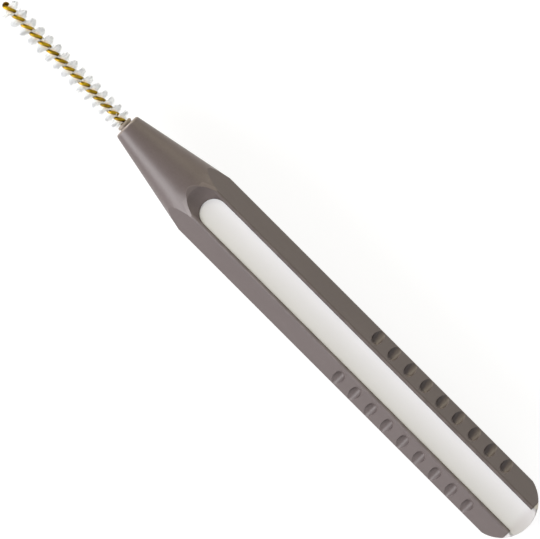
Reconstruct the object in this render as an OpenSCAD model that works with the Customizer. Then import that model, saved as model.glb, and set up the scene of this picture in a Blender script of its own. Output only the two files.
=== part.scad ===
// Interdental brush with a six-sided two-colour handle.
// The twisted wire points along +X, the handle rests on its lower face at z = 0,
// and the origin is below the middle of the whole length.

/* [Handle] */
// Length of the handle from the nose face to the round end
handle_length = 50; // [44:0.5:64]
// Width of the handle over its two side edges
handle_width = 6.4; // [6:0.1:7.6]
// How much the small round takes off each of the six long edges
edge_trim = 0.04; // [0.02:0.01:0.1]
// How far the round end stands outside the side edges where it begins
end_margin = 0.1; // [0.06:0.02:0.2]
// Radius of the upper and lower edge of the round end
end_round = 0.35; // [0.15:0.05:0.6]

/* [Nose] */
// Diameter of the nose face
nose_diameter = 2.5; // [2.2:0.1:3.2]
// Distance over which the nose cone widens to the full width of the handle
nose_length = 9.7; // [8.2:0.1:14]
// Radius of the edge of the nose face
nose_round = 0.24; // [0.1:0.02:0.3]
// Diameter of the collar round the wire
collar_diameter = 1.45; // [1.3:0.05:1.8]
// Height of the collar in front of the nose face
collar_height = 0.38; // [0.26:0.02:0.6]
// Radius of the front edge of the collar
collar_round = 0.14; // [0.04:0.02:0.14]
// Width of the groove between the collar and the nose face
groove_width = 0.12; // [0.06:0.02:0.2]
// Depth of the groove
groove_depth = 0.08; // [0.04:0.02:0.12]

/* [Inlay] */
// Width of the white strip
strip_width = 2.6; // [2:0.1:2.6]
// Distance from the nose face to the round front of the strip
strip_start = 9.65; // [8.5:0.05:14]
// Thickness of the strip below the flat face
strip_depth = 0.9; // [0.6:0.1:1.4]
// Length of the white cap at the round end
cap_length = 0.87; // [0.6:0.01:1.8]
// Moulding gap between the strip and its channel
inlay_gap = 0.03; // [0.02:0.01:0.06]
// How far the surface of the strip lies below the scoop in the handle
strip_step = 0.06; // [0.02:0.01:0.12]

/* [Scoop] */
// Depth of the shallow scoop along the upper and lower face
scoop_depth = 0.16; // [0.1:0.02:0.24]
// Width of handle that the scoop shows on each side of the strip
scoop_border = 0.1; // [0.04:0.02:0.14]
// How far the scoop runs ahead of the strip
scoop_lead = 1.5; // [1.2:0.1:2.5]

/* [Dimples] */
// Number of finger dimples in each of the four rows
dimple_count = 9; // [5:1:11]
// Distance between neighbouring dimples
dimple_pitch = 2; // [1.6:0.1:2.4]
// Distance from the last dimple to the round end
dimple_end_space = 5.1; // [4.2:0.05:7]
// Width of a dimple along the handle
dimple_width = 1; // [0.9:0.02:1.2]
// Depth of a dimple below the flank, at the foot of its inner wall
dimple_depth = 0.54; // [0.4:0.02:0.6]
// Angle by which the inner wall of a dimple leans out from upright
dimple_draft = 7; // [0:0.5:9]
// Radius of the hollow floor of a dimple
dimple_floor_radius = 0.52; // [0.46:0.02:1.2]
// Plain flank left between a dimple and the upper or lower face
dimple_border = 0.28; // [0.2:0.02:0.5]
// Plain flank left between a dimple and the side edge
dimple_lip = 0.14; // [0.12:0.02:0.4]

/* [Wire] */
// Diameter of the wire before it is twisted
wire_diameter = 0.27; // [0.22:0.01:0.32]
// Length of wire that is hidden in the nose, behind the nose face
wire_tail = 8; // [5:0.5:10]
// Clearance round the wire in its bore
bore_clearance = 0.03; // [0.02:0.01:0.06]
// Clearance between each leg of the wire and the filaments
clamp_clearance = 0.02; // [0.015:0.005:0.04]

/* [Bristles] */
// Length of the brush in front of the collar
brush_length = 15; // [12:0.2:18]
// Diameter over the filament ends
brush_diameter = 2; // [1.5:0.02:3]
// Thickness of a filament
filament_size = 0.05; // [0.04:0.005:0.06]
// Distance from one filament to the next along the wire
filament_pitch = 0.07; // [0.068:0.002:0.09]
// Distance from the collar to the first crest of the spiral fan
first_crest = 0.45; // [0.4:0.05:0.9]
// Distance between crests at the handle, which is half a turn of the wire
crest_pitch = 0.82; // [0.76:0.02:1]
// How much half of that distance grows with each crest towards the tip
crest_growth = 0.0115; // [0.002:0.0005:0.016]

/* [Hidden] */
$fn = 96;

// One overrun serves every cut
overrun = 1;

// Section of the bar: a hexagon with an edge to either side and flat faces above and below
corner_radius = handle_width / 2 + edge_trim;
face_height = corner_radius * cos(30);
face_width = corner_radius;

// Places along the handle, measured from the nose face, with the brush towards +X
handle_end = -handle_length;
end_radius = handle_width / 2 + end_margin;
end_centre = handle_end + end_radius;
// The end form is a little higher than the bar, so that its round meets the faces at an angle
end_excess = end_round / 15;
cone_slope = (handle_width - nose_diameter) / 2 / nose_length;
cone_angle = atan(cone_slope);

// Scoop along the upper and lower face
scoop_half = strip_width / 2 + scoop_border;
scoop_radius = arc_radius(scoop_half, scoop_depth);
scoop_front = scoop_lead - strip_start - scoop_half;

// A dimple has a steep round wall on its inner side, and its floor rises to the flank outwards.
// It reaches this far up and down the flank from the middle of the flank.
flank_slope = 60;
dimple_half = dimple_width / 2;
dimple_rise = face_width / 2 - dimple_border;
dimple_fall = face_width / 2 - dimple_lip;
dimple_inner_y = face_height * cos(30) - dimple_rise * sin(30);
dimple_inner_z = face_height * sin(30) + dimple_rise * cos(30);
dimple_outer_y = face_height * cos(30) + dimple_fall * sin(30);
dimple_outer_z = face_height * sin(30) - dimple_fall * cos(30);
dimple_wall_run = dimple_depth * tan(flank_slope + dimple_draft);
dimple_run = dimple_rise + dimple_fall - dimple_wall_run;
floor_slope = flank_slope - atan(dimple_depth / dimple_run);

// Wire and filaments
wire_radius = wire_diameter / 2;
leg_offset = wire_radius + filament_size / 2 + clamp_clearance;
bore_radius = leg_offset + wire_radius + bore_clearance;
wire_sides = 8;
leg_turn_step = 30;
loop_turn_step = 22.5;
slice_half_width = 2 * filament_size;
filament_taper_share = 0.8;
fan_start = first_crest - crest_pitch * 0.45;
fan_end = brush_length - 2 * wire_diameter;
filament_count = floor((fan_end - fan_start) / filament_pitch);

// The whole part is moved so that its middle is above the origin and its lower face at z = 0
whole_length = handle_length + collar_height + brush_length;
nose_x = whole_length / 2 - collar_height - brush_length;

// Radius of the arc with this half width and depth
function arc_radius(half_width, depth) = (half_width * half_width + depth * depth) / (2 * depth);

// Number of crests passed at a distance from the collar. The twist is even inside the nose.
function crests_at(distance) =
    let (beyond = distance - first_crest)
    let (growth = beyond > 0 ? crest_growth : 0)
    2 * beyond / (crest_pitch + sqrt(crest_pitch * crest_pitch + 4 * growth * beyond));

// Distance from the collar at which a number of crests is passed
function distance_at(crests) =
    first_crest + crests * (crest_pitch + crest_growth * max(crests, 0));

// Direction of the fan round the axis. It turns left-handed towards the tip.
function fan_angle(crests) = -180 * crests;

// A point given by its distance from the collar and its place in the turned section
function turned_point(distance, along_fan, across_fan, angle) = [
    collar_height + distance,
    along_fan * cos(angle) - across_fan * sin(angle),
    along_fan * sin(angle) + across_fan * cos(angle)
];

function unit(v) = v / norm(v);

// Two triangles for four corners, split from the first corner to the third
function two_triangles(q) = [[q[0], q[1], q[2]], [q[0], q[2], q[3]]];

function turned_over(q) = [for (i = [len(q) - 1 : -1 : 0]) q[i]];

module placed() {
    translate([nose_x, 0, face_height])
        children();
}

// A round bar with round ends, along Z
module round_ended_bar(radius, straight) {
    rotate_extrude()
        intersection() {
            union() {
                for (side = [-1, 1])
                    translate([0, side * straight / 2])
                        circle(radius);
                square([2 * radius, straight], center = true);
            }
            translate([0, -straight / 2 - radius])
                square([radius, straight + 2 * radius]);
        }
}

// The six-sided bar with small rounds on its long edges, past both ends of the handle
module six_sided_bar() {
    bar_start = handle_end - overrun;
    bar_length = handle_length + collar_height + 2 * overrun;
    translate([bar_start, 0, 0])
        rotate([90, 0, 90])
            linear_extrude(bar_length)
                intersection() {
                    circle(r = corner_radius, $fn = 6);
                    circle(d = handle_width);
                }
}

// Round profile of the nose cone, its rounded face, the groove and the collar
module nose_profile() {
    nose_radius = nose_diameter / 2;
    wide_radius = corner_radius + overrun;
    cone_end = -(wide_radius - nose_radius) / cone_slope;
    round_radius_from_axis = nose_radius - nose_round * (1 - sin(cone_angle)) / cos(cone_angle);
    collar_radius = collar_diameter / 2;
    groove_radius = collar_radius - groove_depth;
    front_radius = collar_radius - collar_round;
    polygon([
        [0, handle_end - overrun],
        [wide_radius, handle_end - overrun],
        [wide_radius, cone_end],
        [
            round_radius_from_axis + nose_round * cos(cone_angle),
            -nose_round + nose_round * sin(cone_angle)
        ],
        [round_radius_from_axis, 0],
        [groove_radius, 0],
        [groove_radius, groove_width],
        [collar_radius, groove_width],
        [collar_radius, collar_height - collar_round],
        [front_radius, collar_height],
        [0, collar_height]
    ]);
    translate([front_radius, collar_height - collar_round])
        circle(collar_round);
    translate([round_radius_from_axis, -nose_round])
        circle(nose_round);
}

// The round end, with a rounded upper and lower edge, and the straight part before it
module end_form() {
    form_height = face_height + end_excess;
    translate([end_centre, 0, 0])
        rotate_extrude()
            intersection() {
                union() {
                    square([2 * (end_radius - end_round), 2 * form_height], center = true);
                    square([2 * end_radius, 2 * (form_height - end_round)], center = true);
                    for (side = [-1, 1])
                        translate([end_radius - end_round, side * (form_height - end_round)])
                            circle(end_round);
                }
                translate([0, -form_height])
                    square([end_radius, 2 * form_height]);
            }
    straight_length = collar_height - end_centre + overrun;
    translate([end_centre, -handle_width, -handle_width])
        cube([straight_length, 2 * handle_width, 2 * handle_width]);
}

// Outer form of both mouldings together
module handle_form() {
    intersection() {
        six_sided_bar();
        rotate([0, 90, 0])
            rotate_extrude()
                nose_profile();
        end_form();
    }
}

// Cutter of the upper and lower scoop. A drop moves it deeper.
module scoops(drop) {
    past_end = scoop_radius + overrun;
    straight = scoop_front - handle_end + past_end;
    for (side = [-1, 1])
        translate([
            scoop_front - straight / 2,
            0,
            side * (face_height + scoop_radius - scoop_depth - drop)
        ])
            rotate([0, 90, 0])
                round_ended_bar(scoop_radius, straight);
}

// Upper and lower strip with a round front. The space is added all round.
module strips(space) {
    half_width = strip_width / 2 + space;
    strip_round = -strip_start - strip_width / 2;
    straight = strip_round - handle_end + overrun;
    height = strip_depth + space + overrun;
    for (side = [-1, 1])
        translate([0, 0, side * (face_height - strip_depth - space + height / 2)])
            linear_extrude(height, center = true) {
                translate([strip_round, 0])
                    circle(half_width);
                translate([strip_round - straight, -half_width])
                    square([straight, 2 * half_width]);
            }
}

// Everything behind the plane where the white cap begins
module cap_block(space) {
    translate([handle_end - overrun, -handle_width, -handle_width])
        cube([cap_length + overrun - space, 2 * handle_width, 2 * handle_width]);
}

// Outline of a slot with a round end at the origin, open towards +Y
module slot_outline(radius, straight) {
    circle(radius);
    translate([-radius, 0])
        square([2 * radius, straight]);
}

// Cutter of one dimple in the upper flank on the +Y side: a steep block with a round
// inner side, cut off below by the hollow floor
module dimple() {
    intersection() {
        translate([0, dimple_outer_y, dimple_outer_z])
            rotate([-floor_slope, 0, 0])
                translate([0, 0, dimple_floor_radius])
                    rotate([90, 0, 0])
                        linear_extrude(2 * handle_width, center = true)
                            slot_outline(dimple_floor_radius, handle_width);
        translate([0, dimple_inner_y, dimple_inner_z])
            rotate([dimple_draft, 0, 0])
                linear_extrude(handle_width, center = true)
                    translate([0, dimple_half])
                        slot_outline(dimple_half, handle_width);
    }
}

// Four rows of dimples, one on each sloping flank
module dimples() {
    last_dimple = handle_end + dimple_end_space;
    for (half_turn = [0, 180])
        for (turned_over = [0, 180])
            for (i = [0 : dimple_count - 1])
                translate([last_dimple + i * dimple_pitch, 0, 0])
                    rotate([turned_over, 0, half_turn])
                        dimple();
}

module handle_body() {
    bore_start = -wire_tail - 2 * bore_clearance;
    color([0.49, 0.45, 0.43])
        placed()
            difference() {
                handle_form();
                scoops(0);
                strips(inlay_gap);
                cap_block(0);
                dimples();
                translate([bore_start, 0, 0])
                    rotate([0, 90, 0])
                        cylinder(r = bore_radius, h = collar_height + overrun - bore_start);
            }
}

module inlay() {
    color([0.88, 0.87, 0.85])
        placed()
            difference() {
                intersection() {
                    handle_form();
                    union() {
                        strips(0);
                        cap_block(inlay_gap);
                    }
                }
                scoops(strip_step);
            }
}

// The wire is one tube: out along one leg, over the loop at the tip and back along the other leg
module twisted_wire() {
    tail_crests = crests_at(-collar_height - wire_tail);
    loop_start = brush_length - leg_offset - wire_radius;
    loop_crests = crests_at(loop_start);
    leg_steps = ceil(180 * (loop_crests - tail_crests) / leg_turn_step);
    loop_steps = 180 / loop_turn_step;
    out_leg = [
        for (i = [0 : leg_steps])
            let (crests = tail_crests + (loop_crests - tail_crests) * i / leg_steps)
            [distance_at(crests), leg_offset]
    ];
    loop = [
        for (i = [1 : loop_steps - 1])
            let (turn = i * loop_turn_step)
            [loop_start + leg_offset * sin(turn), leg_offset * cos(turn)]
    ];
    back_leg = [for (p = turned_over(out_leg)) [p[0], -p[1]]];
    route = concat(out_leg, loop, back_leg);
    last = len(route) - 1;
    angles = [for (p = route) fan_angle(crests_at(p[0]))];
    centres = [for (i = [0 : last]) turned_point(route[i][0], 0, route[i][1], angles[i])];
    points = [
        for (i = [0 : last])
            let (
                ahead = unit(centres[min(i + 1, last)] - centres[max(i - 1, 0)]),
                fan = [0, cos(angles[i]), sin(angles[i])],
                side = unit(fan - (fan * ahead) * ahead),
                other = cross(side, ahead)
            )
            for (j = [0 : wire_sides - 1])
                let (turn = 360 * (j + 0.5) / wire_sides)
                centres[i] + wire_radius * (cos(turn) * other + sin(turn) * side)
    ];
    sides = [
        for (i = [0 : last - 1])
            for (j = [0 : wire_sides - 1])
                let (
                    next = (j + 1) % wire_sides,
                    here = i * wire_sides,
                    there = here + wire_sides
                )
                each two_triangles([here + j, there + j, there + next, here + next])
    ];
    start_cap = [for (j = [0 : wire_sides - 1]) j];
    end_cap = [for (j = turned_over(start_cap)) last * wire_sides + j];
    color([0.78, 0.62, 0.2])
        placed()
            polyhedron(points = points, faces = concat(sides, [start_cap, end_cap]));
}

// Each filament is a straight four-sided hair that passes through the axis in a plane of its own.
// A thin turned slice between the legs of the wire joins them.
// Corners are numbered by side of the axis (s), place along the wire (i) and face of the slice (j).
module bristles() {
    half = filament_size / 2;
    tip_half = half * filament_taper_share;
    reach = brush_diameter / 2;
    points = [
        for (k = [0 : filament_count - 1])
            let (
                distance = fan_start + (k + 0.5) * (fan_end - fan_start) / filament_count,
                angle = fan_angle(crests_at(distance))
            )
            for (end = [[slice_half_width, half], [reach, tip_half]])
                for (s = [-1, 1])
                    for (i = [-1, 1])
                        for (j = [-1, 1])
                            turned_point(distance + i * end[1], s * end[0], j * end[1], angle)
    ];
    function root(k, s, i, j) = 16 * k + 4 * s + 2 * i + j;
    function tip(k, s, i, j) = root(k, s, i, j) + 8;
    // One hair, seen on the side s = 1
    function hair(k, s) = [
        [root(k, s, 0, 1), tip(k, s, 0, 1), tip(k, s, 1, 1), root(k, s, 1, 1)],
        [root(k, s, 1, 0), tip(k, s, 1, 0), tip(k, s, 0, 0), root(k, s, 0, 0)],
        [root(k, s, 1, 0), root(k, s, 1, 1), tip(k, s, 1, 1), tip(k, s, 1, 0)],
        [root(k, s, 0, 0), tip(k, s, 0, 0), tip(k, s, 0, 1), root(k, s, 0, 1)],
        [tip(k, s, 0, 0), tip(k, s, 1, 0), tip(k, s, 1, 1), tip(k, s, 0, 1)]
    ];
    // The slice under one hair
    function slice(k) = [
        [root(k, 0, 0, 1), root(k, 1, 0, 1), root(k, 1, 1, 1), root(k, 0, 1, 1)],
        [root(k, 0, 0, 0), root(k, 0, 1, 0), root(k, 1, 1, 0), root(k, 1, 0, 0)]
    ];
    // The slice from one hair to the next, split so that its turned faces bulge outwards
    function link(k) = [
        [root(k, 1, 1, 1), root(k + 1, 1, 0, 1), root(k + 1, 0, 0, 1), root(k, 0, 1, 1)],
        [root(k, 0, 1, 0), root(k + 1, 0, 0, 0), root(k + 1, 1, 0, 0), root(k, 1, 1, 0)],
        [root(k, 1, 1, 0), root(k + 1, 1, 0, 0), root(k + 1, 1, 0, 1), root(k, 1, 1, 1)],
        [root(k, 0, 1, 1), root(k + 1, 0, 0, 1), root(k + 1, 0, 0, 0), root(k, 0, 1, 0)]
    ];
    function slice_end(k, i) = [root(k, 0, i, 0), root(k, 1, i, 0), root(k, 1, i, 1), root(k, 0, i, 1)];
    last = filament_count - 1;
    corners = [
        for (k = [0 : last]) each hair(k, 1),
        for (k = [0 : last]) for (q = hair(k, 0)) turned_over(q),
        for (k = [0 : last]) each slice(k),
        for (k = [0 : last - 1]) each link(k),
        slice_end(0, 0),
        turned_over(slice_end(last, 1))
    ];
    color([0.93, 0.94, 0.95])
        placed()
            polyhedron(points = points, faces = [for (q = corners) each two_triangles(q)]);
}

handle_body();
inlay();
twisted_wire();
bristles();
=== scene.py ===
import math
import random

import bpy
from mathutils import Matrix, Vector


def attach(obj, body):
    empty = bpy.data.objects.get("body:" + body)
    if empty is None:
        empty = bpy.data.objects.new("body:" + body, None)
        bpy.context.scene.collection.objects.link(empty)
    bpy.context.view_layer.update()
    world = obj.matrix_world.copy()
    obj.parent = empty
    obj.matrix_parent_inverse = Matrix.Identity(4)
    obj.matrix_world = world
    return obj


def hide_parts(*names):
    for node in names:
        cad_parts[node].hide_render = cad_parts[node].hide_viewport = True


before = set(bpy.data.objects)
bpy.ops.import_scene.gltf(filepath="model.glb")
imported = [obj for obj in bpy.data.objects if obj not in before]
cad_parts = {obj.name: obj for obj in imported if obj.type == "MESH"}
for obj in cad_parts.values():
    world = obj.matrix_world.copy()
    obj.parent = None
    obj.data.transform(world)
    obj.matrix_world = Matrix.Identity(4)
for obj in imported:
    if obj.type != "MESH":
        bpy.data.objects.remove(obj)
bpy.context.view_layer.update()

mm = 0.001

# Places and sizes that the wire, the filaments and the handle share
brush = {
    "noseX": 17.31 * mm,
    "axisHeight": 2.8059 * mm,
    "collarHeight": 0.38 * mm,
    "length": 15 * mm,
    "firstCrest": 0.45 * mm,
    "crestPitch": 0.82 * mm,
    "crestGrowth": 0.0115 * mm,  # the twist gets looser towards the tip
    "legOffset": 0.178 * mm,
    "wireRadius": 0.165 * mm,
}


def crestsAt(distance):
    beyond = distance - brush["firstCrest"]
    growth = brush["crestGrowth"] if beyond > 0 else 0
    pitch = brush["crestPitch"]
    return 2 * beyond / (pitch + math.sqrt(pitch * pitch + 4 * growth * beyond))


def distanceAt(crests):
    return brush["firstCrest"] + crests * (brush["crestPitch"] + brush["crestGrowth"] * max(crests, 0))


def fanAngle(distance):
    return -math.pi * crestsAt(distance)  # left-handed towards the tip


def placeOnBrush(distance, acrossFan):
    angle = fanAngle(distance)
    return Vector((
        brush["noseX"] + brush["collarHeight"] + distance,
        -acrossFan * math.sin(angle),
        brush["axisHeight"] + acrossFan * math.cos(angle),
    ))


def clearSelection():
    if bpy.context.object and bpy.context.object.mode != "OBJECT":
        bpy.ops.object.mode_set(mode="OBJECT")
    bpy.ops.object.select_all(action="DESELECT")


# Node helpers
def newTree(name):
    material = bpy.data.materials.new(name)
    material.use_nodes = True
    nodes = material.node_tree.nodes
    return material, material.node_tree, nodes["Principled BSDF"]


def addNode(tree, kind, **values):
    node = tree.nodes.new(kind)
    for key, value in values.items():
        if hasattr(node, key):
            setattr(node, key, value)
        else:
            node.inputs[key].default_value = value
    return node


def addMath(tree, operation, *numbers):
    node = tree.nodes.new("ShaderNodeMath")
    node.operation = operation
    for socket, value in zip(node.inputs, numbers):
        if isinstance(value, (int, float)):
            socket.default_value = value
        else:
            tree.links.new(value, socket)
    return node.outputs[0]


def addRange(tree, value, fromLow, fromHigh, toLow, toHigh):
    node = tree.nodes.new("ShaderNodeMapRange")
    node.interpolation_type = "SMOOTHSTEP"
    tree.links.new(value, node.inputs["Value"])
    limits = {"From Min": fromLow, "From Max": fromHigh, "To Min": toLow, "To Max": toHigh}
    for name, number in limits.items():
        if isinstance(number, (int, float)):
            node.inputs[name].default_value = number
        else:
            tree.links.new(number, node.inputs[name])
    return node.outputs["Result"]


def addMixColour(tree, amount, first, second):
    node = addNode(tree, "ShaderNodeMix", data_type="RGBA")
    factor, firstColour, secondColour = node.inputs[0], node.inputs[6], node.inputs[7]
    for socket, value in ((factor, amount), (firstColour, first), (secondColour, second)):
        if isinstance(value, tuple):
            socket.default_value = (*value, 1)
        else:
            tree.links.new(value, socket)
    return node.outputs[2]


def addBump(tree, shader, height, strength, depth):
    bump = addNode(tree, "ShaderNodeBump", Strength=strength, Distance=depth)
    tree.links.new(height, bump.inputs["Height"])
    tree.links.new(bump.outputs[0], shader.inputs["Normal"])


def newGroup(name, inputs, outputs):
    group = bpy.data.node_groups.new(name, "ShaderNodeTree")
    group.interface.new_socket(name="Vector", in_out="INPUT", socket_type="NodeSocketVector")
    for label, value in inputs.items():
        socket = group.interface.new_socket(name=label, in_out="INPUT", socket_type="NodeSocketFloat")
        socket.default_value = value
    for label in outputs:
        group.interface.new_socket(name=label, in_out="OUTPUT", socket_type="NodeSocketFloat")
    start = group.nodes.new("NodeGroupInput")
    end = group.nodes.new("NodeGroupOutput")
    return group, start.outputs, end.inputs


def useGroup(tree, group, vector, values):
    node = addNode(tree, "ShaderNodeGroup", node_tree=group)
    tree.links.new(vector, node.inputs["Vector"])
    for key, value in values.items():
        node.inputs[key].default_value = value
    return node.outputs


# Spark-eroded grain of the mould, with a finer tooth on top
grainLook = {
    "size": 0.3 * mm,
    "fineShare": 0.35,
    "finerScale": 2.7,
    "detail": 3,
    "roughness": 0.6,
    "maskLow": 0.35,
    "maskHigh": 0.95,
}


def makeMouldGrain():
    inputs = {"Grain Size": grainLook["size"], "Fine Share": grainLook["fineShare"]}
    group, given, result = newGroup("mouldGrain", inputs, ["Height", "Mask"])
    perMetre = addMath(group, "DIVIDE", 1, given["Grain Size"])
    finer = addMath(group, "MULTIPLY", perMetre, grainLook["finerScale"])
    coarse = addNode(
        group, "ShaderNodeTexNoise", Detail=grainLook["detail"], Roughness=grainLook["roughness"]
    )
    fine = addNode(group, "ShaderNodeTexVoronoi", feature="F1")
    for texture, scale in ((coarse, perMetre), (fine, finer)):
        group.links.new(given["Vector"], texture.inputs["Vector"])
        group.links.new(scale, texture.inputs["Scale"])
    fineHeight = addMath(group, "MULTIPLY", fine.outputs["Distance"], given["Fine Share"])
    height = addMath(group, "ADD", coarse.outputs[0], fineHeight)
    mask = addRange(group, height, grainLook["maskLow"], grainLook["maskHigh"], 0, 1)
    group.links.new(height, result["Height"])
    group.links.new(mask, result["Mask"])
    return group


# Cloudy change of tone from the flow of the melt, drawn out along the handle
mottleLook = {
    "patchSize": 4 * mm,
    "stretch": 3.0,
    "detail": 4,
    "roughness": 0.55,
    "distortion": 0.6,
    "maskLow": 0.3,
    "maskHigh": 0.7,
}


def makeMottle():
    inputs = {"Patch Size": mottleLook["patchSize"], "Stretch": mottleLook["stretch"]}
    group, given, result = newGroup("meltMottle", inputs, ["Mask"])
    split = addNode(group, "ShaderNodeSeparateXYZ")
    join = addNode(group, "ShaderNodeCombineXYZ")
    group.links.new(given["Vector"], split.inputs[0])
    group.links.new(addMath(group, "DIVIDE", split.outputs[0], given["Stretch"]), join.inputs[0])
    group.links.new(split.outputs[1], join.inputs[1])
    group.links.new(split.outputs[2], join.inputs[2])
    cloud = addNode(
        group,
        "ShaderNodeTexNoise",
        Detail=mottleLook["detail"],
        Roughness=mottleLook["roughness"],
        Distortion=mottleLook["distortion"],
    )
    group.links.new(join.outputs[0], cloud.inputs["Vector"])
    group.links.new(addMath(group, "DIVIDE", 1, given["Patch Size"]), cloud.inputs["Scale"])
    mask = addRange(group, cloud.outputs[0], mottleLook["maskLow"], mottleLook["maskHigh"], 0, 1)
    group.links.new(mask, result["Mask"])
    return group


# Wear on the long edges that fingers polish, and painted light on the flats beside the strip and on the
# scoop floor, all broken into rub spots
rubAndLightLook = {
    "innerRadius": 3.1 * mm,
    "outerRadius": 3.2 * mm,
    "flatHeight": 2.8 * mm,
    "flatMargin": 0.02 * mm,
    "spotScale": 900,
    "spotDetail": 3,
    "spotLow": 0.3,
    "spotHigh": 0.65,
    "leastWear": 0.4,
    "frontShare": 0.42,  # the painted light is weaker in front of the strip
    "fadeStart": 7.2 * mm,
    "fadeEnd": 8.6 * mm,
    "stripFront": 7.6 * mm,
    "scoopFront": 9.05 * mm,
    "scoopBlend": 0.1 * mm,
    "scoopLow": 2.60 * mm,
    "scoopHigh": 2.63 * mm,
}


def makeRubAndPaintedLight():
    inputs = {
        "Inner Radius": rubAndLightLook["innerRadius"],
        "Outer Radius": rubAndLightLook["outerRadius"],
        "Axis Height": brush["axisHeight"],
        "Flat Height": rubAndLightLook["flatHeight"],
    }
    group, given, result = newGroup("edgeRub", inputs, ["Mask", "Flat Mask"])
    split = addNode(group, "ShaderNodeSeparateXYZ")
    group.links.new(given["Vector"], split.inputs[0])
    along, across = split.outputs[0], split.outputs[1]
    up = addMath(group, "SUBTRACT", split.outputs[2], given["Axis Height"])
    level = addMath(group, "ABSOLUTE", up)
    squares = addMath(
        group, "ADD", addMath(group, "MULTIPLY", across, across), addMath(group, "MULTIPLY", up, up)
    )
    radius = addMath(group, "SQRT", squares)
    broken = addNode(
        group, "ShaderNodeTexNoise", Scale=rubAndLightLook["spotScale"], Detail=rubAndLightLook["spotDetail"]
    )
    group.links.new(given["Vector"], broken.inputs["Vector"])
    spots = addRange(
        group, broken.outputs[0], rubAndLightLook["spotLow"], rubAndLightLook["spotHigh"], rubAndLightLook["leastWear"], 1
    )
    # The long edges are what lies far from the axis of the handle
    edge = addRange(group, radius, given["Inner Radius"], given["Outer Radius"], 0, 1)
    group.links.new(addMath(group, "MULTIPLY", edge, spots), result["Mask"])
    # Painted light: the flats beside the strip and the floor of the scoop in front of it are lighter
    share = rubAndLightLook["frontShare"]
    below = addMath(group, "SUBTRACT", given["Flat Height"], rubAndLightLook["flatMargin"])
    flat = addRange(group, level, below, given["Flat Height"], 0, 1)
    fade = addRange(group, along, rubAndLightLook["fadeStart"], rubAndLightLook["fadeEnd"], 1, share)
    flat = addMath(group, "MULTIPLY", flat, fade)
    scoop = addRange(group, level, rubAndLightLook["scoopLow"], rubAndLightLook["scoopHigh"], 0, share)
    ahead = addRange(group, along, rubAndLightLook["fadeStart"], rubAndLightLook["stripFront"], 0, 1)
    scoopEnd = rubAndLightLook["scoopFront"] + rubAndLightLook["scoopBlend"]
    behind = addRange(group, along, rubAndLightLook["scoopFront"], scoopEnd, 1, 0)
    scoop = addMath(group, "MULTIPLY", scoop, addMath(group, "MULTIPLY", ahead, behind))
    wornAndLit = addMath(group, "MAXIMUM", flat, scoop)
    group.links.new(addMath(group, "MULTIPLY", wornAndLit, spots), result["Flat Mask"])
    return group


mouldGrain = makeMouldGrain()
meltMottle = makeMottle()
edgeRub = makeRubAndPaintedLight()
print("shared node groups ready")


# Handle: satin grey brown moulding
taupeFinish = {
    "name": "taupePlastic",
    "colour": (0.102, 0.080, 0.077),
    "dark": (0.093, 0.072, 0.069),
    "light": (0.142, 0.122, 0.116),
    "grainSize": 0.16 * mm,
    "patchSize": 3.5 * mm,
    "fleck": 0.22,
    "rub": 0.15,
    "rubSmooths": 0.12,
    # painted light from above on the flats, in rub spots
    "wornAndLit": (0.175, 0.146, 0.138),
    "noseLightTone": (0.30, 0.25, 0.205),  # painted light: the collar and the nose rim are lighter
    "noseLightBlend": 0.25 * mm,
    "roughLow": 0.36,
    "roughHigh": 0.44,
    "bump": 0.35,
    "bumpDepth": 0.012 * mm,
    "ior": 1.49,
    "specular": 0.38,
}

# Strip and cap: satin white moulding
whiteFinish = {
    "name": "whitePlastic",
    "colour": (0.865, 0.86, 0.86),
    "dark": (0.835, 0.83, 0.83),
    "light": (0.89, 0.885, 0.885),
    "grainSize": 0.12 * mm,
    "patchSize": 5 * mm,
    "fleck": 0.25,
    "capShade": (0.78, 0.76, 0.76),  # painted shade: the cap is a little greyer than the strip
    "capStart": -31.2 * mm,
    "capFull": -32.0 * mm,
    "capSideShade": (0.56, 0.54, 0.54),  # and painted shade makes its sloping sides greyer still
    "sideStart": 1.30 * mm,
    "sideFull": 1.55 * mm,
    "roughLow": 0.46,
    "roughHigh": 0.56,
    "bump": 0.2,
    "bumpDepth": 0.006 * mm,
    "ior": 1.49,
    "specular": 0.36,
}


def wearAndLightHandle(tree, finish, place, tone, rough):
    rub = useGroup(tree, edgeRub, place, {})
    polish = addMath(tree, "MULTIPLY", rub["Mask"], finish["rub"])
    tone = addMixColour(tree, polish, tone, finish["light"])
    # Painted light on the flats beside the strip and on the scoop floor
    tone = addMixColour(tree, rub["Flat Mask"], tone, finish["wornAndLit"])
    split = addNode(tree, "ShaderNodeSeparateXYZ")
    tree.links.new(place, split.inputs[0])
    # Painted light: lighter on the collar and the rim of the nose
    noseLightStart = brush["noseX"] - finish["noseLightBlend"]
    noseLightFull = brush["noseX"] + finish["noseLightBlend"]
    noseLit = addRange(tree, split.outputs[0], noseLightStart, noseLightFull, 0, 1)
    tone = addMixColour(tree, noseLit, tone, finish["noseLightTone"])
    smoother = addMath(tree, "MULTIPLY", polish, finish["rubSmooths"])
    return tone, addMath(tree, "SUBTRACT", rough, smoother)


# Painted shade: the cap greyer, its sloping sides greyer still
def shadeCap(tree, finish, place, tone):
    split = addNode(tree, "ShaderNodeSeparateXYZ")
    tree.links.new(place, split.inputs[0])
    capped = addRange(tree, split.outputs[0], finish["capFull"], finish["capStart"], 1, 0)
    outwards = addMath(tree, "ABSOLUTE", split.outputs[1])
    side = addRange(tree, outwards, finish["sideStart"], finish["sideFull"], 0, 1)
    tone = addMixColour(tree, capped, tone, finish["capShade"])
    return addMixColour(tree, addMath(tree, "MULTIPLY", capped, side), tone, finish["capSideShade"])


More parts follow.
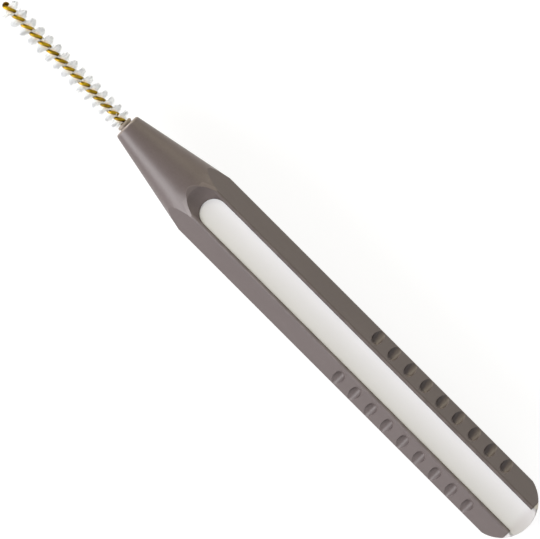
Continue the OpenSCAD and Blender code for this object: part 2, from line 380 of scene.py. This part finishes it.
def makePlastic(finish):
    material, tree, shader = newTree(finish["name"])
    place = addNode(tree, "ShaderNodeTexCoord").outputs["Object"]
    grain = useGroup(tree, mouldGrain, place, {"Grain Size": finish["grainSize"]})
    mottle = useGroup(tree, meltMottle, place, {"Patch Size": finish["patchSize"]})
    tone = addMixColour(tree, mottle["Mask"], finish["dark"], finish["colour"])
    fleck = addMath(tree, "MULTIPLY", grain["Mask"], finish["fleck"])
    tone = addMixColour(tree, fleck, tone, finish["light"])
    rough = addRange(tree, grain["Mask"], 0, 1, finish["roughLow"], finish["roughHigh"])
    if "rub" in finish:
        tone, rough = wearAndLightHandle(tree, finish, place, tone, rough)
    if "capShade" in finish:
        tone = shadeCap(tree, finish, place, tone)
    tree.links.new(tone, shader.inputs["Base Color"])
    tree.links.new(rough, shader.inputs["Roughness"])
    addBump(tree, shader, grain["Height"], finish["bump"], finish["bumpDepth"])
    shader.inputs["IOR"].default_value = finish["ior"]
    shader.inputs["Specular IOR Level"].default_value = finish["specular"]
    return material


for node, finish in (("handle_body", taupeFinish), ("inlay", whiteFinish)):
    material = makePlastic(finish)
    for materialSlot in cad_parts[node].material_slots:
        materialSlot.material = material
print("handle and strip finished")


# Wire: one round wire, folded at the tip and twisted on itself
goldWire = {
    "name": "goldWire",
    "sides": 16,
    "tail": 8 * mm,
    "stepsPerTurn": 24,
    "loopSteps": 12,
    "inset": 0.012 * mm,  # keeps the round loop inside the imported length
    "smoothAngle": 50,
    "colour": (0.37, 0.245, 0.014),
    "dark": (0.056, 0.027, 0.002),
    "darkRadius": 0.235 * mm,  # painted shade: darker in the valleys of the twist and on the sides of each lobe, lighter on its crests
    "brightRadius": 0.330 * mm,
    "dullest": 0.75,
    "patchSize": 0.5 * mm,
    "patchStretch": 1.5,
    "rimTint": (0.36, 0.30, 0.16),
    "grainSize": 0.05 * mm,
    "fineShare": 0.15,
    "roughLow": 0.24,
    "roughHigh": 0.36,
    "bump": 0.3,
    "bumpDepth": 0.004 * mm,
}


def makeWireRoute():
    offset = brush["legOffset"]
    first = crestsAt(-brush["collarHeight"] - goldWire["tail"])
    loopStart = brush["length"] - offset - brush["wireRadius"] - goldWire["inset"]
    crests = crestsAt(loopStart) - first
    legSteps = math.ceil(goldWire["stepsPerTurn"] * crests / 2)
    leg = [distanceAt(first + crests * i / legSteps) for i in range(legSteps + 1)]
    route = [placeOnBrush(d, offset) for d in leg]
    for i in range(1, goldWire["loopSteps"]):
        turn = math.pi * i / goldWire["loopSteps"]
        route.append(placeOnBrush(loopStart + offset * math.sin(turn), offset * math.cos(turn)))
    route += [placeOnBrush(d, -offset) for d in reversed(leg)]
    return route


def makeWire():
    clearSelection()
    bpy.ops.curve.primitive_nurbs_path_add(location=(0, 0, 0))
    wire = bpy.context.object
    wire.name = goldWire["name"]
    curve = wire.data
    curve.splines.clear()
    route = makeWireRoute()
    line = curve.splines.new("POLY")
    line.points.add(len(route) - 1)
    for point, place in zip(line.points, route):
        point.co = (*place, 1)
    curve.dimensions = "3D"
    curve.twist_mode = "MINIMUM"
    curve.bevel_depth = brush["wireRadius"]
    curve.bevel_resolution = goldWire["sides"] // 2 - 2  # Blender makes 2 r + 4 sides of it
    curve.use_fill_caps = True
    bpy.ops.object.convert(target="MESH")
    wire = bpy.context.object
    bpy.ops.object.shade_smooth_by_angle(angle=math.radians(goldWire["smoothAngle"]))
    return wire


def makeGold():
    material, tree, shader = newTree("goldMetal")
    place = addNode(tree, "ShaderNodeTexCoord").outputs["Object"]
    grainValues = {"Grain Size": goldWire["grainSize"], "Fine Share": goldWire["fineShare"]}
    patchValues = {"Patch Size": goldWire["patchSize"], "Stretch": goldWire["patchStretch"]}
    crestValues = {"Inner Radius": goldWire["darkRadius"], "Outer Radius": goldWire["brightRadius"]}
    grain = useGroup(tree, mouldGrain, place, grainValues)
    mottle = useGroup(tree, meltMottle, place, patchValues)
    # Painted shade in the valleys and on the sides of the twist, lighter on its crests, mixed with random
    # dull patches
    crest = useGroup(tree, edgeRub, place, crestValues)
    patchy = addRange(tree, mottle["Mask"], 0, 1, goldWire["dullest"], 1)
    crestLightAndPatches = addMath(tree, "MULTIPLY", crest["Mask"], patchy)
    tone = addMixColour(tree, crestLightAndPatches, goldWire["dark"], goldWire["colour"])
    rough = addRange(tree, grain["Mask"], 0, 1, goldWire["roughLow"], goldWire["roughHigh"])
    tree.links.new(tone, shader.inputs["Base Color"])
    tree.links.new(rough, shader.inputs["Roughness"])
    addBump(tree, shader, grain["Height"], goldWire["bump"], goldWire["bumpDepth"])
    shader.inputs["Metallic"].default_value = 1
    shader.inputs["Specular Tint"].default_value = (*goldWire["rimTint"], 1)
    return material


wire = makeWire()
wire.data.materials.append(makeGold())
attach(wire, "root")
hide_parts("twisted_wire")
print("wire", len(wire.data.polygons), "faces")


# Filaments: straight hairs clamped in the wire, in two layers that lie side by side
filaments = {
    "name": "nylonFilaments",
    "seed": 7,
    "sides": 6,
    "thickness": 0.052 * mm,
    "reach": 1.0 * mm,
    "lengthCuts": 7,
    "tipRound": 0.012 * mm,
    "pitch": 0.021 * mm,
    "start": 0.081 * mm,
    "end": 14.50 * mm,
    "layerOffset": 0.018 * mm,
    "lean": 3.4,  # these two are spreads in degrees
    "roll": 7.0,
    "bow": 0.05 * mm,
    "sideBow": 0.6,
    "lengthSpread": 0.02,
    "smoothAngle": 70,
    "rootGoldReflection": (0.98, 0.90, 0.76),  # painted reflection of the gold wire on the roots
    "rootStart": 0.15,
    "rootEnd": 0.35,
    "shaftColour": (0.972, 0.978, 0.98),
    # painted shade: the hairs grow greyer towards their tips
    "tipShadeColour": (0.76, 0.765, 0.77),
    "tipStart": 0.45,
    "oddColour": (0.78, 0.79, 0.80),
    "oddShare": 0.25,
    "rootGlow": (0.13, 0.105, 0.07),  # stands in for light passed on from hair to hair
    "shaftGlow": (0.046, 0.048, 0.05),
    "glowStart": 0.2,
    "glowEnd": 0.5,
    "grainSize": 0.03 * mm,
    "roughLow": 0.22,
    "roughHigh": 0.36,
    "bump": 0.2,
    "bumpDepth": 0.002 * mm,
    "ior": 1.53,
    "clear": 0.68,
}


def makeHair():
    clearSelection()
    bpy.ops.mesh.primitive_cylinder_add(
        vertices=filaments["sides"],
        radius=filaments["thickness"] / 2,
        depth=2 * filaments["reach"],
        location=(0, 0, 0),
    )
    hair = bpy.context.object
    # Cuts across the long edges let the hair bow
    bpy.ops.object.mode_set(mode="EDIT")
    bpy.ops.mesh.select_mode(type="EDGE")
    bpy.ops.mesh.select_all(action="DESELECT")
    bpy.ops.object.mode_set(mode="OBJECT")
    points = hair.data.vertices
    for edge in hair.data.edges:
        low, high = (points[i].co.z for i in edge.vertices)
        edge.select = low * high < 0
    bpy.ops.object.mode_set(mode="EDIT")
    bpy.ops.mesh.subdivide(number_cuts=filaments["lengthCuts"])
    bpy.ops.mesh.select_all(action="DESELECT")
    bpy.ops.object.mode_set(mode="OBJECT")
    # The rims of both ends are taken off
    points = hair.data.vertices
    endHeight = filaments["reach"] - filaments["tipRound"]
    for edge in hair.data.edges:
        edge.select = all(abs(points[i].co.z) > endHeight for i in edge.vertices)
    bpy.ops.object.mode_set(mode="EDIT")
    bpy.ops.mesh.bevel(offset=filaments["tipRound"], segments=1, affect="EDGES")
    bpy.ops.object.mode_set(mode="OBJECT")
    return hair


def keepValue(mesh, name, values):
    mesh.attributes.new(name, "FLOAT", "POINT").data.foreach_set("value", values)


def makeFilaments():
    draw = random.Random(filaments["seed"])
    hair = makeHair()
    span = filaments["end"] - filaments["start"]
    count = math.floor(span / filaments["pitch"])
    step = span / count
    hairs = []
    for k in range(count):
        distance = filaments["start"] + (k + 0.5) * step
        layer = (1 if k % 2 else -1) * filaments["layerOffset"]
        roll = math.radians(draw.gauss(0, filaments["roll"]))
        lean = math.radians(draw.gauss(0, filaments["lean"]))
        size = 1 - abs(draw.gauss(0, filaments["lengthSpread"]))
        bow = [draw.gauss(0, 1) * filaments["bow"] for side in range(4)]
        tone = draw.random()
        copy = hair.copy()
        copy.data = hair.data.copy()
        bpy.context.collection.objects.link(copy)
        share = []
        for point in copy.data.vertices:
            side = 0 if point.co.z > 0 else 2
            far = abs(point.co.z) / filaments["reach"]
            share.append(far)
            point.co.z *= size
            point.co.x += bow[side] * far * far
            point.co.y += bow[side + 1] * far * far * filaments["sideBow"]
        spine = Matrix.Translation(placeOnBrush(distance, layer))
        around = Matrix.Rotation(fanAngle(distance) + roll - math.pi / 2, 4, "X")
        copy.data.transform(spine @ around @ Matrix.Rotation(lean, 4, "Y"))
        keepValue(copy.data, "alongHair", share)
        keepValue(copy.data, "hairTone", [tone] * len(share))
        hairs.append(copy)
    bpy.data.objects.remove(hair)
    clearSelection()
    for piece in hairs:
        piece.select_set(True)
    bpy.context.view_layer.objects.active = hairs[0]
    bpy.ops.object.join()
    joined = bpy.context.object
    joined.name = filaments["name"]
    bpy.ops.object.shade_smooth_by_angle(angle=math.radians(filaments["smoothAngle"]))
    return joined


def makeNylon():
    material, tree, shader = newTree("nylonHair")
    along = addNode(tree, "ShaderNodeAttribute", attribute_name="alongHair").outputs["Fac"]
    tone = addNode(tree, "ShaderNodeAttribute", attribute_name="hairTone").outputs["Fac"]
    place = addNode(tree, "ShaderNodeTexCoord").outputs["Object"]
    grain = useGroup(tree, mouldGrain, place, {"Grain Size": filaments["grainSize"]})
    shaft = addRange(tree, along, filaments["rootStart"], filaments["rootEnd"], 0, 1)
    tip = addRange(tree, along, filaments["tipStart"], 1, 0, 1)
    odd = addMath(tree, "MULTIPLY", tone, filaments["oddShare"])
    # Painted reflection of the gold wire near the roots
    colour = addMixColour(tree, shaft, filaments["rootGoldReflection"], filaments["shaftColour"])
    # Painted shade towards the tips
    colour = addMixColour(tree, tip, colour, filaments["tipShadeColour"])
    colour = addMixColour(tree, odd, colour, filaments["oddColour"])
    rough = addRange(tree, grain["Mask"], 0, 1, filaments["roughLow"], filaments["roughHigh"])
    outer = addRange(tree, along, filaments["glowStart"], filaments["glowEnd"], 0, 1)
    passed = addMixColour(tree, outer, filaments["rootGlow"], filaments["shaftGlow"])
    tree.links.new(colour, shader.inputs["Base Color"])
    tree.links.new(rough, shader.inputs["Roughness"])
    tree.links.new(passed, shader.inputs["Emission Color"])
    addBump(tree, shader, grain["Height"], filaments["bump"], filaments["bumpDepth"])
    shader.inputs["Emission Strength"].default_value = 1
    shader.inputs["IOR"].default_value = filaments["ior"]
    shader.inputs["Transmission Weight"].default_value = filaments["clear"]
    return material


nylon = makeFilaments()
nylon.data.materials.append(makeNylon())
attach(nylon, "root")
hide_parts("bristles")
print("filaments", len(nylon.data.polygons), "faces")


# Floor and light
studio = {
    "floorRadius": 2,
    "floorSides": 96,
    "floorDrop": 0.01 * mm,
    "floorTone": 0.80,
    "toneSpread": 0.01,
    "fibreScale": 60,
    "fibreDetail": 4,
    "seenDiffuse": 0.25,
    "seenGlow": 0.82,
    "viewGlow": 0.05,  # keeps the soft shadow nearly as pale as in the photograph
    "skyTone": 0.04,
    "seenSky": 1.0,
}


def grey(tone):
    return (tone, tone, tone)


def makeSeenMask(tree):
    # What the camera sees, also mirrored in the gold and through the nylon
    path = addNode(tree, "ShaderNodeLightPath").outputs
    seen = addMath(tree, "MAXIMUM", path["Is Camera Ray"], path["Is Glossy Ray"])
    return addMath(tree, "MAXIMUM", seen, path["Is Transmission Ray"])


def makePaper():
    material, tree, shader = newTree("palePaper")
    tree.nodes.remove(shader)
    end = tree.nodes["Material Output"]
    place = addNode(tree, "ShaderNodeTexCoord").outputs["Object"]
    fibre = addNode(
        tree, "ShaderNodeTexNoise", Scale=studio["fibreScale"], Detail=studio["fibreDetail"]
    )
    tree.links.new(place, fibre.inputs["Vector"])
    # The object is lit by pale grey paper, and the camera sees it nearly white
    low = studio["floorTone"] - studio["toneSpread"]
    high = studio["floorTone"] + studio["toneSpread"]
    lit = addNode(tree, "ShaderNodeBsdfDiffuse")
    tree.links.new(addMixColour(tree, fibre.outputs[0], grey(low), grey(high)), lit.inputs["Color"])
    shown = addNode(tree, "ShaderNodeBsdfDiffuse", Color=(*grey(studio["seenDiffuse"]), 1))
    direct = addNode(tree, "ShaderNodeLightPath").outputs["Is Camera Ray"]
    strength = addMath(tree, "MULTIPLY_ADD", direct, studio["viewGlow"], studio["seenGlow"])
    glow = addNode(tree, "ShaderNodeEmission")
    tree.links.new(strength, glow.inputs["Strength"])
    both = addNode(tree, "ShaderNodeAddShader")
    tree.links.new(shown.outputs[0], both.inputs[0])
    tree.links.new(glow.outputs[0], both.inputs[1])
    mix = addNode(tree, "ShaderNodeMixShader")
    tree.links.new(makeSeenMask(tree), mix.inputs[0])
    tree.links.new(lit.outputs[0], mix.inputs[1])
    tree.links.new(both.outputs[0], mix.inputs[2])
    tree.links.new(mix.outputs[0], end.inputs["Surface"])
    return material


def makeFloor():
    clearSelection()
    bpy.ops.mesh.primitive_circle_add(
        vertices=studio["floorSides"],
        radius=studio["floorRadius"],
        fill_type="NGON",
        location=(0, 0, -studio["floorDrop"]),
    )
    floor = bpy.context.object
    floor.name = "studioFloor"
    bpy.ops.object.transform_apply(location=True, rotation=True, scale=True)
    floor.data.materials.append(makePaper())


def makeSky():
    world = bpy.data.worlds.new("studioSky")
    bpy.context.scene.world = world
    world.use_nodes = True
    tree = world.node_tree
    sky = tree.nodes["Background"]
    seen = makeSeenMask(tree)
    colour = addMixColour(tree, seen, grey(studio["skyTone"]), grey(studio["seenSky"]))
    tree.links.new(colour, sky.inputs["Color"])
    sky.inputs["Strength"].default_value = 1


# Tilt is from straight up and bearing from +X, in degrees
# Level is the brightness that a facing white card gets
lamps = {
    "sideSoftbox": {
        "tilt": 68, "bearing": 66, "distance": 0.45, "size": 0.30, "level": 1.36, "tint": (1.0, 0.985, 1.0),
    },
    "tipSoftbox": {
        "tilt": 85, "bearing": 0, "distance": 0.80, "size": 0.12, "level": 1.15, "tint": (1.0, 1.0, 1.0),
    },
    "farSoftbox": {
        "tilt": 80, "bearing": -40, "distance": 0.50, "size": 0.14, "level": 0.74, "tint": (1.0, 0.94, 0.70),
    },
    "backSoftbox": {
        "tilt": 70, "bearing": 160, "distance": 0.50, "size": 0.30, "level": 0.42, "tint": (1.0, 1.0, 1.0),
    },
    "warmFill": {
        "tilt": 70, "bearing": -80, "distance": 0.50, "size": 0.30, "level": 0.14, "tint": (1.0, 0.90, 0.68),
    },
    "topSoftbox": {
        "tilt": 0, "bearing": 0, "distance": 0.62, "size": 0.12, "level": 0.025, "tint": (1.0, 1.0, 1.0),
    },
}


def makeLamp(name, tilt, bearing, distance, size, level, tint):
    tilt = math.radians(tilt)
    bearing = math.radians(bearing)
    flatShare = math.sin(tilt)
    away = Vector((flatShare * math.cos(bearing), flatShare * math.sin(bearing), math.cos(tilt)))
    place = away * distance + Vector((0, 0, brush["axisHeight"]))
    clearSelection()
    bpy.ops.object.light_add(type="AREA", location=place)
    lamp = bpy.context.object
    lamp.name = name
    lamp.rotation_euler = away.to_track_quat("Z", "Y").to_euler()
    lamp.data.shape = "SQUARE"
    lamp.data.size = size
    lamp.data.energy = level * math.pi ** 2 * distance ** 2
    lamp.data.color = tint
    lamp.visible_camera = False


photoView = {
    "lens": 1100,
    "sensor": 36,
    "height": 1455.7 * mm,
    "centreX": -0.595 * mm,
    "turn": 225,
    "clipStart": 0.02,
    "clipEnd": 20,
}


def makeCamera():
    clearSelection()
    bpy.ops.object.camera_add(
        location=(photoView["centreX"], 0, brush["axisHeight"] + photoView["height"]),
        rotation=(0, 0, math.radians(photoView["turn"])),
    )
    camera = bpy.context.object
    camera.name = "photoCamera"
    camera.data.sensor_width = photoView["sensor"]
    camera.data.lens = photoView["lens"]
    camera.data.clip_start = photoView["clipStart"]
    camera.data.clip_end = photoView["clipEnd"]
    bpy.context.scene.camera = camera


makeFloor()
makeSky()
for name, values in lamps.items():
    makeLamp(name, **values)
makeCamera()
bpy.context.scene.view_settings.view_transform = "Standard"
clearSelection()
print("floor, light and camera ready")
